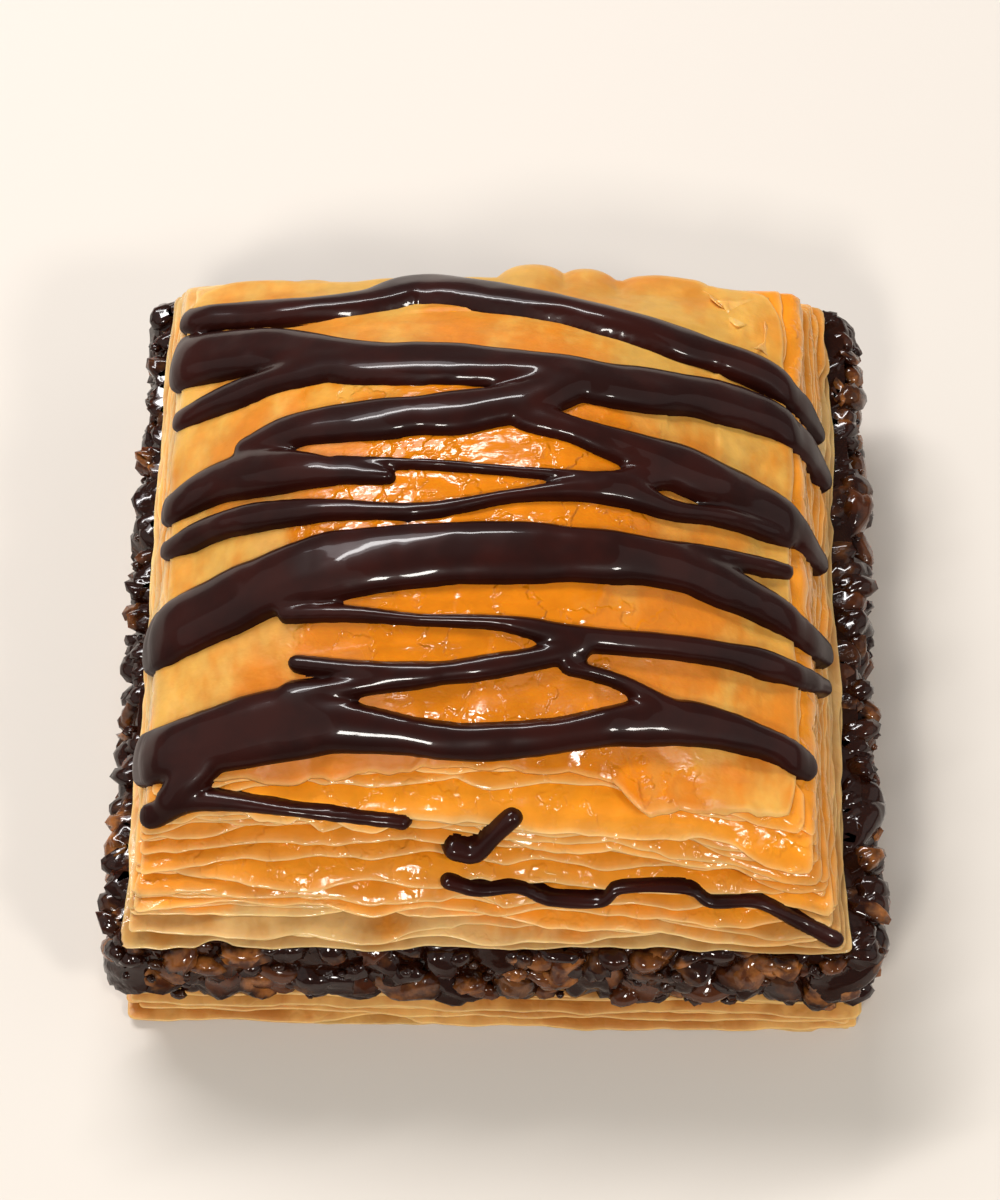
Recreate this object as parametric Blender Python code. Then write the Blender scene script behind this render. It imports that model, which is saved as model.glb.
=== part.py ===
"""A square piece of baklava, standing on the floor at z = 0 and centred on the origin.

It is a thin stack of baked leaves, a thick layer of chopped nuts in dark syrup, and a puffed stack of
leaves with dark chocolate drizzled across its crown. +X is the right side and -Y is the front.
Sizes are in millimetres, and each mesh is turned into metres when it is finished.
"""

import math
import random

import bmesh
import bpy
from mathutils import Matrix, Vector

MM = 0.001
GAP = 0.3
WELD = 0.01

# Heights of the three layers
BASE_THICK = 7.0
FILLING_FOOT = BASE_THICK + GAP
FILLING_THICK = 9.7
FILLING_TOP = FILLING_FOOT + FILLING_THICK
TOP_FOOT = FILLING_TOP + GAP
EDGE_TOP = 26.5
CROWN_TOP = 40.0

# Base leaves, half sizes
BASE_HALF_WIDE = 33.8
BASE_HALF_LONG = 35.0
BASE_SPREAD = 0.6
BASE_LEAVES = 3
BASE_CELLS = 16

# Nut filling
FILLING_HALF_WIDE = 36.5
FILLING_HALF_LONG = 37.5
CORE_INSET = 2.6
CORE_CELLS = 10
CORE_ROUGHNESS = 0.7
NUT_SPACING = 6.4
NUT_SMALLEST = 1.9
NUT_LARGEST = 2.7
NUT_STRETCH = 1.7
NUT_SUNK = (0.2, 1.3)
NUT_ROWS = (0.27, 0.73)

# Top leaves, measured from the crown's middle, which is CROWN_ASIDE off the middle of the piece. The
# crown is the edge of the uppermost leaf, and the foot that of the lowest.
CROWN_ASIDE = -1.7
CROWN_HALF_WIDE = 29.5
CROWN_HALF_LONG = 31.5
CROWN_FRONT = 25.0
FOOT_LEFT = 31.8
FOOT_RIGHT = 34.0
FOOT_BACK = 35.4
FOOT_FRONT = 36.0
PILLOW_POWER = 2.4
CORNER_DROP = 2.5
TOP_LEAVES = 8
TOP_CELLS = 20

# Relief of every stack of leaves
CORNER_BOW = 0.05
GROOVE = 1.1
LEAF_STEPS = (0.0, 0.62, 0.8)
EDGE_WAVES = ((5, 0.55), (11, 0.35), (19, 0.25))
LIFT_WAVES = ((7, 0.3), (15, 0.25), (23, 0.2))

# Drizzle, measured from the crown's middle too: each stroke is read on a level plane at the crown's
# top, looking down from SIGHT, as (across, up, width). It falls onto the leaves along the line of sight.
SIGHT = Vector((4.6, -159.4, 299.0))
SIGHT_STEPS = 14
STROKES = {
    "back_arch": (
        (-27.5, 17.6, 3.2), (-17, 18.8, 2.9), (-11, 19.8, 3.4), (-6, 21.3, 5.0), (1, 20.4, 4.4),
        (9, 18.6, 3.7), (18, 15.7, 3.7), (25.5, 12.4, 3.6), (29, 9.4, 2.8), (30.6, 6.4, 2.0),
    ),
    "second_arch": (
        (-27.5, 13, 5.4), (-20, 14.2, 4.6), (-11, 13, 4.6), (-3, 13, 4.5), (5, 12.4, 4.6),
        (12, 11, 4.8), (20, 9.8, 4.0), (26, 7.8, 3.6), (29.4, 5, 3.0), (31, 1.6, 2.2),
    ),
    "left_fork": ((-27.8, 6.6, 2.4), (-23, 9.2, 2.8), (-17.5, 11.6, 2.8), (-13, 12.6, 2.6)),
    "third_arch": (
        (-21.3, 3.4, 2.4), (-16.5, 5.8, 3.4), (-9, 7, 4.0), (-1, 8, 4.4), (4, 9.2, 4.2),
        (8, 11, 3.6),
    ),
    "third_tail": (
        (4, 7.6, 3.2), (9, 5.8, 3.0), (14, 3.8, 3.8), (19, 1.6, 4.4), (24, -0.8, 3.8),
        (28, -3.6, 3.2), (30.5, -7.4, 2.0),
    ),
    "left_blob": ((-28, -3, 2.8), (-23, 0.2, 3.8), (-17.5, 1.2, 4.2), (-12.5, 1.2, 2.6), (-8.4, 0.8, 1.4)),
    "fine_line": ((-13, 2.4, 1.2), (-4, 2.1, 1.1), (4, 1.5, 1.1), (11, 0.9, 1.4)),
    "middle_line": (
        (-28, -7.2, 1.8), (-22, -4.2, 2.6), (-14, -2.8, 2.4), (-5, -2.7, 1.8), (3, -1, 1.6),
        (11.5, -0.2, 3.2), (17, -2.2, 2.0), (22, -3, 1.8), (27.5, -5, 1.6),
    ),
    "middle_branch": ((11.5, 0.4, 2.6), (17, 1.4, 2.6), (22, 0.6, 2.4)),
    "wide_band": (
        (-28.4, -16.6, 5.0), (-23.5, -13.4, 5.8), (-16, -9.4, 6.6), (-8, -7.6, 6.4), (0, -6.9, 6.6),
        (9, -7, 6.0), (16, -7.8, 5.0), (22, -10.2, 3.6), (27, -13.2, 3.2), (30.6, -16.6, 2.2),
    ),
    "wide_band_branch": ((12, -5.8, 2.0), (20, -6.8, 1.8), (27.4, -8.4, 1.6)),
    "fork_line": (
        (-17, -13.6, 1.8), (-11.5, -13.4, 1.7), (-5, -13.9, 1.4), (2, -14.1, 1.8), (9, -15.5, 2.6),
        (17, -16.2, 2.7), (23, -17.2, 2.6), (28, -18.8, 2.4), (30.6, -20, 1.6),
    ),
    "lower_line": (
        (-15.8, -18.5, 2.0), (-10, -19, 2.0), (-4, -19.3, 2.6), (3, -18.1, 2.7), (9, -16.6, 2.6),
    ),
    "front_band": (
        (-28.7, -28.2, 4.2), (-24, -26.6, 6.2), (-16, -24.4, 7.0), (-9, -25, 5.0), (-1, -26, 3.8),
        (6, -25.4, 4.0), (13, -24, 4.6), (19, -23.8, 4.4), (25, -25.6, 3.2), (28.6, -27.6, 2.4),
    ),
    "front_upper": ((-16, -21.8, 3.0), (-9, -20.4, 2.4), (-4, -19.6, 2.0)),
    "front_link": ((8, -18.4, 1.8), (12.5, -19.8, 1.8), (16.5, -22.4, 2.6)),
    "left_tail": ((-27.6, -33.6, 2.6), (-23.4, -32, 2.2), (-15, -32.8, 1.4), (-6, -33.8, 1.5)),
    "left_tail_root": ((-23.5, -28.5, 3.6), (-26, -32, 3.0)),
    "dab": ((-1.6, -35.7, 2.0), (1, -35.6, 2.0), (3.4, -33, 2.0)),
    "squiggle": (
        (-2, -39.2, 1.7), (4, -39.5, 1.4), (9.5, -40.8, 1.6), (13, -39.6, 1.4), (21, -39.9, 1.5),
        (26, -41.4, 1.5), (31, -44, 1.6),
    ),
}
STROKE_STEP = 4.4
CREST_BASE = 0.4
CREST_SHARE = 0.2
TIP_SHARE = 0.55


def clear_scene():
    for obj in list(bpy.data.objects):
        bpy.data.objects.remove(obj, do_unlink=True)


def new_collection(name):
    collection = bpy.data.collections.new(name)
    bpy.context.scene.collection.children.link(collection)
    return collection


def new_material(name, colour, roughness, coat):
    material = bpy.data.materials.new(name)
    material.use_nodes = True
    shader = material.node_tree.nodes["Principled BSDF"]
    shader.inputs["Base Color"].default_value = (*colour, 1.0)
    shader.inputs["Roughness"].default_value = roughness
    shader.inputs["Metallic"].default_value = 0.0
    shader.inputs["Coat Weight"].default_value = coat
    return material


def new_object(name, mesh, collection, material):
    """Makes an object of a bmesh held in millimetres, and frees the bmesh."""
    bmesh.ops.scale(mesh, vec=(MM, MM, MM), verts=mesh.verts)
    data = bpy.data.meshes.new(name)
    mesh.to_mesh(data)
    mesh.free()
    if material:
        data.materials.append(material)
    obj = bpy.data.objects.new(name, data)
    collection.objects.link(obj)
    return obj


def gridded_box(cells):
    """A cube from -1 to 1, with its edges along each axis cut into that many equal lengths."""
    mesh = bmesh.new()
    bmesh.ops.create_cube(mesh, size=2.0)
    for axis, count in enumerate(cells):
        along = [e for e in mesh.edges if abs(e.verts[0].co[axis] - e.verts[1].co[axis]) > 1.0]
        bmesh.ops.subdivide_edges(mesh, edges=along, cuts=count - 1)
    return mesh


def merge_flat_end(mesh, end):
    """Makes one face of all the small ones at the bottom (end -1) or the top (end 1) of a gridded box."""
    flat = [face for face in mesh.faces if all(vert.co.z * end > 0.999 for vert in face.verts)]
    bmesh.ops.dissolve_faces(mesh, faces=flat, use_verts=False)


def round_the_edge(a, b):
    """Distance round the unit square's edge, from 0 to 1, of a point on that edge."""
    if a > 0.999:
        return (b + 1) / 8
    if b > 0.999:
        return (3 - a) / 8
    if a < -0.999:
        return (5 - b) / 8
    return (a + 7) / 8


def wave(turn, waves, phases):
    both = zip(waves, phases)
    return sum(size * math.sin(math.tau * count * turn + phase) for (count, size), phase in both)


def pillow_height(x, y):
    """Height of the crown above a place in plan: highest in the middle, falling to all four edges."""
    side = min(abs(x) / CROWN_HALF_WIDE, 1.0)
    end = min(abs(y) / CROWN_HALF_LONG, 1.0)
    rise = (CROWN_TOP - EDGE_TOP) * (1 - side**PILLOW_POWER) * (1 - end**PILLOW_POWER)
    return EDGE_TOP + rise - CORNER_DROP * (side * end) ** 3


def leaf_surface(x, y):
    """Height of the leaves' outside: the crown, and past its edges a straight fall to the foot."""
    edge_x = max(-CROWN_HALF_WIDE, min(x, CROWN_HALF_WIDE))
    edge_y = max(-CROWN_FRONT, min(y, CROWN_HALF_LONG))
    past_left = max(edge_x - x, 0.0) / (FOOT_LEFT - CROWN_HALF_WIDE)
    past_right = max(x - edge_x, 0.0) / (FOOT_RIGHT - CROWN_HALF_WIDE)
    past_front = max(edge_y - y, 0.0) / (FOOT_FRONT - CROWN_FRONT)
    past_back = max(y - edge_y, 0.0) / (FOOT_BACK - CROWN_HALF_LONG)
    top = pillow_height(edge_x, edge_y)
    return top + (TOP_FOOT - top) * max(past_left, past_right, past_front, past_back)


def leaf_stack(leaves, cells, half_sizes, foot, roof, flat_ends, seed):
    """A block whose sides are the edges of baked leaves, each a tip standing out between two grooves.

    half_sizes(level) gives the reach to the left, right, front and back at a level from 0 (foot) to 1
    (top), and roof(x, y) gives the height of the top above a place in plan.
    """
    rng = random.Random(seed)
    rings = 3 * leaves - 1
    edge_phases = [[rng.uniform(0, math.tau) for _ in EDGE_WAVES] for _ in range(leaves)]
    lift_phases = [rng.uniform(0, math.tau) for _ in LIFT_WAVES]
    mesh = gridded_box((cells, cells, rings - 1))
    for end in flat_ends:
        merge_flat_end(mesh, end)
    roof_sizes = half_sizes(1.0)
    for vert in mesh.verts:
        a, b, c = vert.co
        leaf, step = divmod(round((c + 1) / 2 * (rings - 1)), 3)
        level = (leaf + LEAF_STEPS[step]) / (leaves - 1 + LEAF_STEPS[1])
        top = in_plan(a, b, roof_sizes)
        place = in_plan(a, b, half_sizes(level))
        on_side = max(abs(a), abs(b)) > 0.999
        lift = 0.0
        if on_side:
            turn = round_the_edge(a, b)
            out = wave(turn, EDGE_WAVES, edge_phases[leaf]) - (GROOVE if step == 2 else 0.0)
            place.x += math.copysign(out, a) if abs(a) > 0.999 else 0.0
            place.y += math.copysign(out, b) if abs(b) > 0.999 else 0.0
            lift = wave(turn, LIFT_WAVES, lift_phases) * level * (1 - 0.5 * level)
        vert.co = (place.x, place.y, foot + (roof(top.x, top.y) - foot) * level + lift)
    return mesh


def in_plan(a, b, half_sizes):
    """Place in plan of a point of the unit square, whose sides bow out a little between the corners."""
    left, right, front, back = half_sizes
    wide = left if a < 0 else right
    long = front if b < 0 else back
    x = a * wide * math.sqrt(1 - CORNER_BOW * b * b)
    y = b * long * math.sqrt(1 - CORNER_BOW * a * a)
    return Vector((x, y))


def base_half_sizes(level):
    out = BASE_SPREAD * (1 - level)
    wide, long = BASE_HALF_WIDE + out, BASE_HALF_LONG + out
    return (wide, wide, long, long)


def top_half_sizes(level):
    def between(foot, crown):
        return foot + (crown - foot) * level

    left, right = between(FOOT_LEFT, CROWN_HALF_WIDE), between(FOOT_RIGHT, CROWN_HALF_WIDE)
    return (left, right, between(FOOT_FRONT, CROWN_FRONT), between(FOOT_BACK, CROWN_HALF_LONG))


def base_roof(x, y):
    return BASE_THICK


def base_leaves(collection):
    mesh = leaf_stack(BASE_LEAVES, BASE_CELLS, base_half_sizes, 0.0, base_roof, (-1, 1), seed=3)
    for vert in mesh.verts:
        vert.co.z = min(vert.co.z, BASE_THICK)
    material = new_material("baked_leaves", (0.56, 0.29, 0.09), 0.5, 0.2)
    return new_object("base_leaves", mesh, collection, material)


def filling_core():
    """The layer of syrup and crumbs, with rough sides and a flat top and bottom."""
    rng = random.Random(11)
    mesh = gridded_box((CORE_CELLS, CORE_CELLS, 2))
    merge_flat_end(mesh, -1)
    merge_flat_end(mesh, 1)
    for vert in mesh.verts:
        a, b, c = vert.co
        rough = rng.uniform(-CORE_ROUGHNESS, CORE_ROUGHNESS) if max(abs(a), abs(b)) > 0.999 else 0.0
        x = a * (FILLING_HALF_WIDE - CORE_INSET + rough)
        y = b * (FILLING_HALF_LONG - CORE_INSET + rough)
        vert.co = (x, y, FILLING_FOOT + (c + 1) / 2 * FILLING_THICK)
    return mesh


def nut_piece(place, along, rng):
    """A chopped nut: a stretched, tilted lump with few sides that keeps inside the filling's height."""
    mesh = bmesh.new()
    bmesh.ops.create_icosphere(mesh, subdivisions=1, radius=rng.uniform(NUT_SMALLEST, NUT_LARGEST))
    stretch = Matrix.Diagonal((rng.uniform(1.0, NUT_STRETCH), 1.0, rng.uniform(0.75, 1.1))).to_4x4()
    tilt = Matrix.Rotation(rng.uniform(-0.5, 0.5), 4, "Y") @ Matrix.Rotation(rng.uniform(0, math.tau), 4, "X")
    turn = Matrix.Rotation(along + rng.uniform(-0.4, 0.4), 4, "Z")
    bmesh.ops.transform(mesh, matrix=turn @ tilt @ stretch, verts=mesh.verts)
    room = min(place.z - FILLING_FOOT, FILLING_TOP - place.z) - 0.1
    tallest = max(abs(vert.co.z) for vert in mesh.verts)
    bmesh.ops.scale(mesh, vec=(1, 1, min(1.0, room / tallest)), verts=mesh.verts)
    bmesh.ops.translate(mesh, vec=place, verts=mesh.verts)
    return mesh


def nut_places(rng):
    """(place, direction) of each nut: rows along the four sides, set a little in or out at random."""
    sides = (
        (Vector((1, 0)), FILLING_HALF_WIDE, FILLING_HALF_LONG, math.pi / 2),
        (Vector((-1, 0)), FILLING_HALF_WIDE, FILLING_HALF_LONG, math.pi / 2),
        (Vector((0, 1)), FILLING_HALF_LONG, FILLING_HALF_WIDE, 0.0),
        (Vector((0, -1)), FILLING_HALF_LONG, FILLING_HALF_WIDE, 0.0),
    )
    for facing, reach, half_length, along in sides:
        count = round(2 * half_length / NUT_SPACING)
        for row, share in enumerate(NUT_ROWS):
            for index in range(count):
                slide = (index + 0.5 * row + rng.uniform(-0.2, 0.2)) / (count - 0.5) * 2 - 1
                depth = reach - CORE_INSET - rng.uniform(*NUT_SUNK)
                sideways = Vector((facing.y, facing.x)) * slide * (half_length - CORE_INSET)
                flat = facing * depth + sideways
                height = FILLING_FOOT + FILLING_THICK * (share + rng.uniform(-0.06, 0.06))
                yield Vector((flat.x, flat.y, height)), along


def fit_in_plan(obj, half_wide, half_long):
    """Trims a mesh object to lie exactly between the given half sizes, either side of the origin."""
    for axis, half in enumerate((half_wide * MM, half_long * MM)):
        low = min(vert.co[axis] for vert in obj.data.vertices)
        high = max(vert.co[axis] for vert in obj.data.vertices)
        for vert in obj.data.vertices:
            vert.co[axis] = (2 * (vert.co[axis] - low) / (high - low) - 1) * half


def nut_filling(collection, scraps):
    material = new_material("nut_filling", (0.1, 0.035, 0.012), 0.25, 0.6)
    filling = new_object("nut_filling", filling_core(), collection, material)
    rng = random.Random(29)
    for place, along in nut_places(rng):
        new_object("nut", nut_piece(place, along, rng), scraps, None)
    join(filling, scraps)
    fit_in_plan(filling, FILLING_HALF_WIDE, FILLING_HALF_LONG)
    return filling


def on_leaves(across, up):
    """Where the line of sight through a point of the level plane at the crown's top meets the leaves."""
    height = CROWN_TOP
    for _ in range(SIGHT_STEPS):
        share = (SIGHT.z - height) / (SIGHT.z - CROWN_TOP)
        x = SIGHT.x + (across - SIGHT.x) * share
        y = SIGHT.y + (up - SIGHT.y) * share
        height = leaf_surface(x, y)
    return Vector((x, y, height))


def outward(place):
    """The direction that faces straight out of the leaves at a place on them."""
    near = 0.5
    slope_x = (leaf_surface(place.x + near, place.y) - leaf_surface(place.x - near, place.y)) / (2 * near)
    slope_y = (leaf_surface(place.x, place.y + near) - leaf_surface(place.x, place.y - near)) / (2 * near)
    return Vector((-slope_x, -slope_y, 1.0)).normalized()


def smooth_stroke(points):
    """Points about STROKE_STEP apart on a Catmull-Rom curve through a stroke's own points."""
    points = [Vector(point) for point in points]
    padded = [2 * points[0] - points[1], *points, 2 * points[-1] - points[-2]]
    path = []
    for before, start, end, after in zip(padded, padded[1:], padded[2:], padded[3:]):
        count = max(1, round((end - start).xy.length / STROKE_STEP))
        for index in range(count):
            t = index / count
            path.append(
                0.5 * (2 * start + (end - before) * t + (2 * before - 5 * start + 4 * end - after) * t**2
                       + (3 * start - 3 * end + after - before) * t**3)
            )
    path.append(points[-1])
    return path


def drizzle_stroke(name, points, scraps):
    """A round bead of chocolate sunk into the leaves, so that its given width and crest stand out."""
    path = smooth_stroke(points)
    curve = bpy.data.curves.new(name, "CURVE")
    curve.dimensions = "3D"
    curve.bevel_depth = MM
    curve.bevel_resolution = 2
    curve.use_fill_caps = True
    spline = curve.splines.new("POLY")
    spline.points.add(len(path) - 1)
    for index, (across, up, width) in enumerate(path):
        if index in (0, len(path) - 1):
            width *= TIP_SHARE
        crest = CREST_BASE + CREST_SHARE * width
        radius = (width * width / 4 + crest * crest) / (2 * crest)
        place = on_leaves(across, up)
        place += outward(place) * (crest - radius)
        spline.points[index].co = (*(place * MM), 1.0)
        spline.points[index].radius = radius
    tube = bpy.data.objects.new(name, curve)
    scraps.objects.link(tube)
    bpy.context.view_layer.update()
    solid = mesh_from_curve(tube)
    scraps.objects.link(solid)


def mesh_from_curve(tube):
    """A mesh object with welded caps in place of a curve object."""
    evaluated = tube.evaluated_get(bpy.context.evaluated_depsgraph_get())
    data = bpy.data.meshes.new_from_object(evaluated)
    mesh = bmesh.new()
    mesh.from_mesh(data)
    bmesh.ops.remove_doubles(mesh, verts=mesh.verts, dist=WELD * MM)
    bmesh.ops.recalc_face_normals(mesh, faces=mesh.faces)
    mesh.to_mesh(data)
    mesh.free()
    solid = bpy.data.objects.new(tube.name + "_solid", data)
    solid.matrix_world = tube.matrix_world
    bpy.data.objects.remove(tube, do_unlink=True)
    return solid


def join(target, scraps):
    """Fuses everything in the scraps collection onto the target, and empties the collection."""
    union = target.modifiers.new("fuse", "BOOLEAN")
    union.operation = "UNION"
    union.operand_type = "COLLECTION"
    union.collection = scraps
    union.solver = "EXACT"
    union.use_self = True
    bpy.context.view_layer.update()
    evaluated = target.evaluated_get(bpy.context.evaluated_depsgraph_get())
    data = bpy.data.meshes.new_from_object(evaluated)
    target.modifiers.clear()
    fill_pockets(data)
    target.data = data
    for obj in list(scraps.objects):
        bpy.data.objects.remove(obj, do_unlink=True)


def fill_pockets(data):
    """Keeps only the outer skin of a fused mesh, so that no sealed pocket is left between its pieces."""
    mesh = bmesh.new()
    mesh.from_mesh(data)
    bmesh.ops.remove_doubles(mesh, verts=mesh.verts, dist=WELD * MM)
    bmesh.ops.dissolve_degenerate(mesh, edges=mesh.edges, dist=WELD * MM)
    unseen = set(mesh.verts)
    skins = []
    while unseen:
        skin = {unseen.pop()}
        edge_of_skin = list(skin)
        while edge_of_skin:
            vert = edge_of_skin.pop()
            for edge in vert.link_edges:
                other = edge.other_vert(vert)
                if other in unseen:
                    unseen.discard(other)
                    skin.add(other)
                    edge_of_skin.append(other)
        skins.append(skin)
    skins.sort(key=len)
    for skin in skins[:-1]:
        bmesh.ops.delete(mesh, geom=list(skin), context="VERTS")
    mesh.to_mesh(data)
    mesh.free()


def top_leaves(collection, scraps):
    material = new_material("glazed_leaves", (0.76, 0.3, 0.04), 0.35, 0.5)
    mesh = leaf_stack(TOP_LEAVES, TOP_CELLS, top_half_sizes, TOP_FOOT, pillow_height, (-1,), seed=7)
    leaves = new_object("top_leaves", mesh, collection, material)
    for name, points in STROKES.items():
        drizzle_stroke(name, points, scraps)
    join(leaves, scraps)
    leaves.location.x = CROWN_ASIDE * MM
    return leaves


def main():
    clear_scene()
    piece = new_collection("baklava_piece")
    scraps = new_collection("fused_pieces")
    root = bpy.data.objects.new("baklava_piece_root", None)
    piece.objects.link(root)
    for obj in (base_leaves(piece), nut_filling(piece, scraps), top_leaves(piece, scraps)):
        obj.parent = root
    bpy.data.collections.remove(scraps)


main()
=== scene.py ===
"""A square piece of baklava with a glazed crown and dark chocolate drizzle, dressed over its solids.

The sections follow the way the piece is put together, from the floor up. Shapes are worked out in
millimetres and turned into metres when their mesh is made. +X is the right side and -Y the front.
"""

import math

import bpy
import numpy as np
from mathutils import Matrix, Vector


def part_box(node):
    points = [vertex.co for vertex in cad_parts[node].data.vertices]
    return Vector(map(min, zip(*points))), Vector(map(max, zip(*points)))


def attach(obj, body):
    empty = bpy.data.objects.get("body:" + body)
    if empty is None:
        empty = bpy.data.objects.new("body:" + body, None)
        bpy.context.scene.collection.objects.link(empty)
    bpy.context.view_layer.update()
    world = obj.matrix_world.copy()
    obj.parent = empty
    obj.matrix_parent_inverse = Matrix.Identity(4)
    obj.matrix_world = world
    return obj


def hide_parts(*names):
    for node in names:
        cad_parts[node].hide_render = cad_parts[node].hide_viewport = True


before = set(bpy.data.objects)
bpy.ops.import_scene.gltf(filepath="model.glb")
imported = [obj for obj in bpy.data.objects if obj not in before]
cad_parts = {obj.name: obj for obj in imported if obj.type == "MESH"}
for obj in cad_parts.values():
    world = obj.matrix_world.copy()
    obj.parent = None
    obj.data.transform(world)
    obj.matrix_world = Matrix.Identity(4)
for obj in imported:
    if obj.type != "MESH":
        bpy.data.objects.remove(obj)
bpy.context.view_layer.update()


# Base leaves: the thin stack of buttered pastry leaves that the piece stands on. They are baked
# through, cut by a knife on four sides, and amber and sticky where syrup has run down to them.

MM = 0.001
BASE_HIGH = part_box("base_leaves")[1].z / MM
BASE_WIDE = 34.6
BASE_LONG = 35.6
BASE_LEAVES = 9
OUT_OF_LINE = (-0.9, 0.4)
LEAF_THICK = 0.26
LEAF_DEPTHS = np.array([9.0, 6.0, 4.0, 2.6, 1.6, 0.9, 0.45, 0.15, 0.0])
PLACES_ROUND = 600
WALK_RADIUS = 44.0
CORNER = 0.018
HALF_SIDE = 34.0
LATTICE = 67
LATTICE_START = (31.7, 17.3)
CORE_INSET = 5.0
CORE_GAP = 0.4


def hills(x, y, grain, seed):
    """Smooth random hills from -1 to 1, about grain millimetres across: random heights at the corners
    of a square lattice, blended inside each square by an S curve along both of its sides."""
    lattice = np.random.default_rng(seed).uniform(-1, 1, (LATTICE, LATTICE))
    across, along = x / grain + LATTICE_START[0], y / grain + LATTICE_START[1]
    column, row = np.floor(across).astype(int), np.floor(along).astype(int)
    s, t = across - column, along - row
    s, t = s * s * (3 - 2 * s), t * t * (3 - 2 * t)
    column, next_column = column % LATTICE, (column + 1) % LATTICE
    row, next_row = row % LATTICE, (row + 1) % LATTICE
    near = lattice[column, row] * (1 - s) + lattice[next_column, row] * s
    far = lattice[column, next_row] * (1 - s) + lattice[next_column, next_row] * s
    return near * (1 - t) + far * t


def layered(x, y, *layers):
    """Hills of several kinds on top of each other, each given by its height, grain and seed."""
    return sum(height * hills(x, y, grain, seed) for height, grain, seed in layers)


def waves(x, *layers):
    """Layered hills that change along one way only."""
    return layered(x, 0 * x, *layers)


def rise(value, low, high):
    """0 below low, 1 above high, and a smooth S curve between them."""
    t = np.clip((value - low) / (high - low), 0, 1)
    return t * t * (3 - 2 * t)


def square_walk(count):
    """count places round a square from -1 to 1, and the way straight out at each: a walk along the sharp
    square, whose places near a corner are drawn onto an arc round a point just inside it."""
    side, step = np.divmod(np.arange(count) * 4 / count, 1)
    side, along = side.astype(int), 2 * step - 1
    one = np.ones(count)
    a = np.choose(side, [one, -along, -one, along])
    b = np.choose(side, [along, one, -along, -one])
    inner_a, inner_b = np.clip(a, CORNER - 1, 1 - CORNER), np.clip(b, CORNER - 1, 1 - CORNER)
    length = np.hypot(a - inner_a, b - inner_b)
    out_a, out_b = (a - inner_a) / length, (b - inner_b) / length
    return inner_a + out_a * CORNER, inner_b + out_b * CORNER, out_a, out_b


def round_hills(*layers):
    """Layered hills read along a circle as long as the walk, so that they meet at its ends."""
    turn = np.arange(PLACES_ROUND) * math.tau / PLACES_ROUND
    return layered(WALK_RADIUS * np.cos(turn), WALK_RADIUS * np.sin(turn), *layers)


def spread(a, b, reach):
    """Places from -1 to 1 both ways, stretched to reach left, right, front and back."""
    left, right, front, back = reach
    return a * np.where(a < 0, left, right), b * np.where(b < 0, front, back)


def leaf_ring(reach, surface, lift, shift, seed):
    """One leaf, as a band round the stack with a closed section, and its rim and tone.

    Its edge is a rounded square that reaches left, right, front and back, moved out by hills of three
    sizes, bitten where a coarser field is highest, and shifted along x at its sides and along y at its
    front and back, which keeps its corners square. Inwards the band follows surface(a, b). Its outer
    part lifts by the given height, and droops where it stands out further.
    """
    a, b, out_a, out_b = square_walk(PLACES_ROUND)
    bites = 2.0 * np.clip(round_hills((1, 7, seed + 3)) - 0.55, 0, 1)
    edge = round_hills((0.22, 13, seed), (0.2, 4.5, seed + 1), (0.12, 1.6, seed + 2)) - bites
    side_shift, end_shift = np.abs(a) ** 12 * shift[0], np.abs(b) ** 12 * shift[1]
    depth = LEAF_DEPTHS[None, :]
    inward = 1 - depth / HALF_SIDE
    x, y = spread(a, b, reach)
    x = (x + out_a * edge + np.sign(a) * side_shift)[:, None] * inward
    y = (y + out_b * edge + np.sign(b) * end_shift)[:, None] * inward
    free = (1 - depth / LEAF_DEPTHS[0]) ** 2
    droop = 0.5 * np.clip(edge + side_shift + end_shift, 0, 2)
    z = surface(a[:, None] * inward, b[:, None] * inward) + (lift - droop)[:, None] * free
    half_thick = LEAF_THICK / 2 * (0.5 + 0.5 * rise(depth, 0, 0.5))
    x, y = np.hstack([x, x[:, ::-1]]), np.hstack([y, y[:, ::-1]])
    z = np.hstack([z + half_thick, (z - half_thick)[:, ::-1]])
    # The rim mask paints each leaf's edge paler: partly the thin edge's own colour, partly a painted
    # highlight along it, and a wider, fainter fade that leaves painted shade further in, near the leaf above.
    rim = 0.85 * np.exp(-depth / 0.2) + 0.15 * np.exp(-depth / 1.3)
    rim = np.broadcast_to(np.hstack([rim, rim[:, ::-1]]), x.shape)
    tone = np.full(x.shape, np.random.default_rng(seed + 9).uniform())
    return np.stack([x, y, z], axis=-1), {"rim": rim, "tone": tone}


def ring_faces(rows, columns):
    """Squares of a grid whose rows and columns both join up end to end."""
    row, column = np.meshgrid(np.arange(rows), np.arange(columns), indexing="ij")
    next_row, next_column = (row + 1) % rows, (column + 1) % columns
    corners = [row * columns + column, next_row * columns + column]
    corners += [next_row * columns + next_column, row * columns + next_column]
    return np.stack(corners, axis=-1).reshape(-1, 4)


def face_out(points, faces):
    """The faces turned round if the closed shape that they make has a volume below nothing."""
    fan = [points[faces[:, [0, k, k + 1]]] for k in range(1, faces.shape[1] - 1)]
    return faces if sum(np.linalg.det(corners).sum() for corners in fan) > 0 else faces[:, ::-1]


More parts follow.
